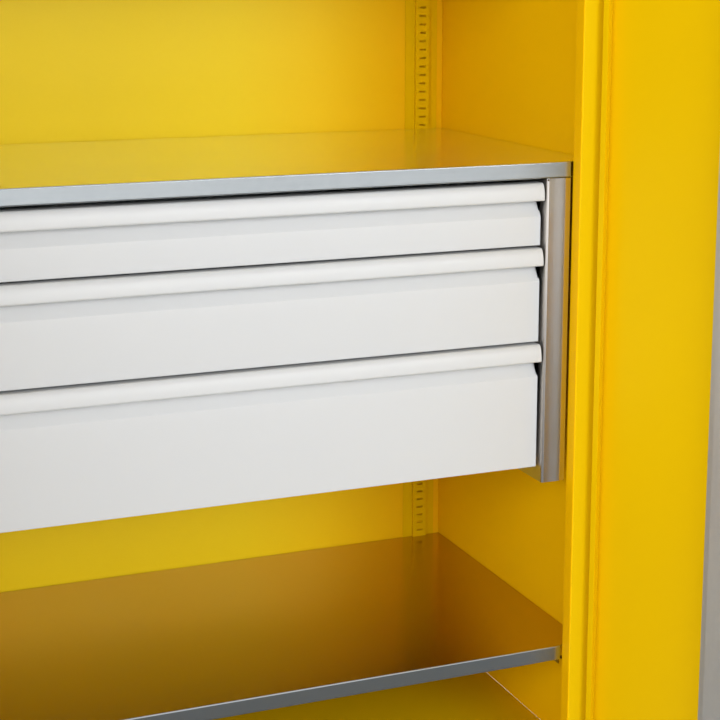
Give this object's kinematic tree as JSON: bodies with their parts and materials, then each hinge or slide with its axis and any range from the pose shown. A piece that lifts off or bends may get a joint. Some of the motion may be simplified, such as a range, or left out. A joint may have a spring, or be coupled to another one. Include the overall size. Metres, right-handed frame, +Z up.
{
  "type": "heavy-duty drawer cabinet",
  "caption": "Heavy-duty wing-door cupboard with adjustable galvanised shelves and a hanging block of full-width drawers on telescopic runners.",
  "frame": {"origin": "floor level under the middle of the carcass, on the underside of the plinth brace", "axes": "+Z up, +Y towards the rear panel, +X towards the right-hand side wall seen from the front"},
  "size_m": [1.6797, 1.1673, 1.95],
  "materials": {
    "yellow_paint": "semi-gloss powder coat",
    "grey_paint": "satin powder coat",
    "galvanised": "smooth galvanised sheet",
    "bright_zinc": "bright zinc plate",
    "dark_paint": "satin powder coat",
    "black_plastic": "fine texture",
    "key_chrome": "polished"
  },
  "bodies": {
    "cabinet": {"side_wall_left": "yellow_paint", "side_wall_right": "yellow_paint", "rear_panel": "yellow_paint", "roof_panel": "yellow_paint", "base_panel": "yellow_paint", "plinth_frame": "dark_paint", "slotted_rail_left": "yellow_paint", "slotted_rail_right": "yellow_paint", "shelf_lower": "galvanised", "shelf_middle": "galvanised", "shelf_upper": "galvanised", "shelf_bearer_lower_left": "galvanised", "shelf_bearer_lower_right": "galvanised", "shelf_bearer_upper_left": "galvanised", "shelf_bearer_upper_right": "galvanised", "block_side_panel_left": "galvanised", "block_side_panel_right": "galvanised", "hinge_pin_top_left": "bright_zinc", "hinge_pin_top_right": "bright_zinc", "hinge_pin_bottom_left": "bright_zinc", "hinge_pin_bottom_right": "bright_zinc", "runner_outer_1_left": "bright_zinc", "runner_outer_1_right": "bright_zinc", "runner_outer_2_left": "bright_zinc", "runner_outer_2_right": "bright_zinc", "runner_outer_3_left": "bright_zinc", "runner_outer_3_right": "bright_zinc"},
    "drawer_1": {"drawer_front_1": "grey_paint", "drawer_tray_1": "galvanised", "runner_inner_1_left": "bright_zinc", "runner_inner_1_right": "bright_zinc"},
    "runner_1": {"runner_middle_1_left": "bright_zinc", "runner_middle_1_right": "bright_zinc"},
    "drawer_2": {"drawer_front_2": "grey_paint", "drawer_tray_2": "galvanised", "runner_inner_2_left": "bright_zinc", "runner_inner_2_right": "bright_zinc"},
    "runner_2": {"runner_middle_2_left": "bright_zinc", "runner_middle_2_right": "bright_zinc"},
    "drawer_3": {"drawer_front_3": "grey_paint", "drawer_tray_3": "galvanised", "runner_inner_3_left": "bright_zinc", "runner_inner_3_right": "bright_zinc"},
    "runner_3": {"runner_middle_3_left": "bright_zinc", "runner_middle_3_right": "bright_zinc"},
    "door_right": {"door_leaf_right": "yellow_paint", "door_stiffener_right": "galvanised", "lock_case": "bright_zinc", "handle_plate": "black_plastic"},
    "door_left": {"door_leaf_left": "yellow_paint", "door_stiffener_left": "galvanised", "meeting_strip": "yellow_paint"},
    "handle": {"door_handle": "black_plastic"},
    "key": {"key_cylinder": "key_chrome"},
    "lock_rod_up": {"lock_rod_upper": "bright_zinc"},
    "lock_rod_down": {"lock_rod_lower": "bright_zinc"},
    "bolt_up": {"door_bolt_upper": "bright_zinc"},
    "bolt_down": {"door_bolt_lower": "bright_zinc"}
  },
  "joints": [
    {"name": "drawer_1_slide", "type": "slide", "parent": "cabinet", "child": "drawer_1", "axis": [0, -1, 0], "range_m": [0, 0.48]},
    {"name": "runner_1_slide", "type": "slide", "parent": "cabinet", "child": "runner_1", "axis": [0, -1, 0], "range_m": [0, 0.24]},
    {"name": "drawer_2_slide", "type": "slide", "parent": "cabinet", "child": "drawer_2", "axis": [0, -1, 0], "range_m": [0, 0.48]},
    {"name": "runner_2_slide", "type": "slide", "parent": "cabinet", "child": "runner_2", "axis": [0, -1, 0], "range_m": [0, 0.24]},
    {"name": "drawer_3_slide", "type": "slide", "parent": "cabinet", "child": "drawer_3", "axis": [0, -1, 0], "range_m": [0, 0.48]},
    {"name": "runner_3_slide", "type": "slide", "parent": "cabinet", "child": "runner_3", "axis": [0, -1, 0], "range_m": [0, 0.24]},
    {"name": "door_right_hinge", "type": "hinge", "parent": "cabinet", "child": "door_right", "pos_m": [0.591, -0.31025, 0], "axis": [0, 0, 1], "range_deg": [-113.5, 0]},
    {"name": "door_left_hinge", "type": "hinge", "parent": "cabinet", "child": "door_left", "pos_m": [-0.591, -0.31025, 0], "axis": [0, 0, -1], "range_deg": [-113.5, 0]},
    {"name": "handle_turn", "type": "hinge", "parent": "door_right", "child": "handle", "pos_m": [0.82302, -0.80474, 1.02], "axis": [0.9171, 0.3987, 0], "range_deg": [-90, 0]},
    {"name": "lock_rod_up_slide", "type": "slide", "parent": "door_right", "child": "lock_rod_up", "axis": [0, 0, 1], "range_m": [0, 0.018]},
    {"name": "lock_rod_down_slide", "type": "slide", "parent": "door_right", "child": "lock_rod_down", "axis": [0, 0, -1], "range_m": [0, 0.018]},
    {"name": "key_turn", "type": "hinge", "parent": "door_right", "child": "key", "pos_m": [0.82412, -0.80427, 0.986], "axis": [0.9171, 0.3987, 0], "range_deg": [0, 90]},
    {"name": "bolt_up_slide", "type": "slide", "parent": "door_left", "child": "bolt_up", "axis": [0, 0, -1], "range_m": [-0.016, 0]},
    {"name": "bolt_down_slide", "type": "slide", "parent": "door_left", "child": "bolt_down", "axis": [0, 0, 1], "range_m": [-0.016, 0]}
  ],
  "couplings": [
    {"joint": "runner_1_slide", "follows": "drawer_1_slide", "ratio": 0.5},
    {"joint": "runner_2_slide", "follows": "drawer_2_slide", "ratio": 0.5},
    {"joint": "runner_3_slide", "follows": "drawer_3_slide", "ratio": 0.5},
    {"joint": "lock_rod_up_slide", "follows": "handle_turn", "m_per_rad": -0.011459},
    {"joint": "lock_rod_down_slide", "follows": "handle_turn", "m_per_rad": -0.011459}
  ]
}
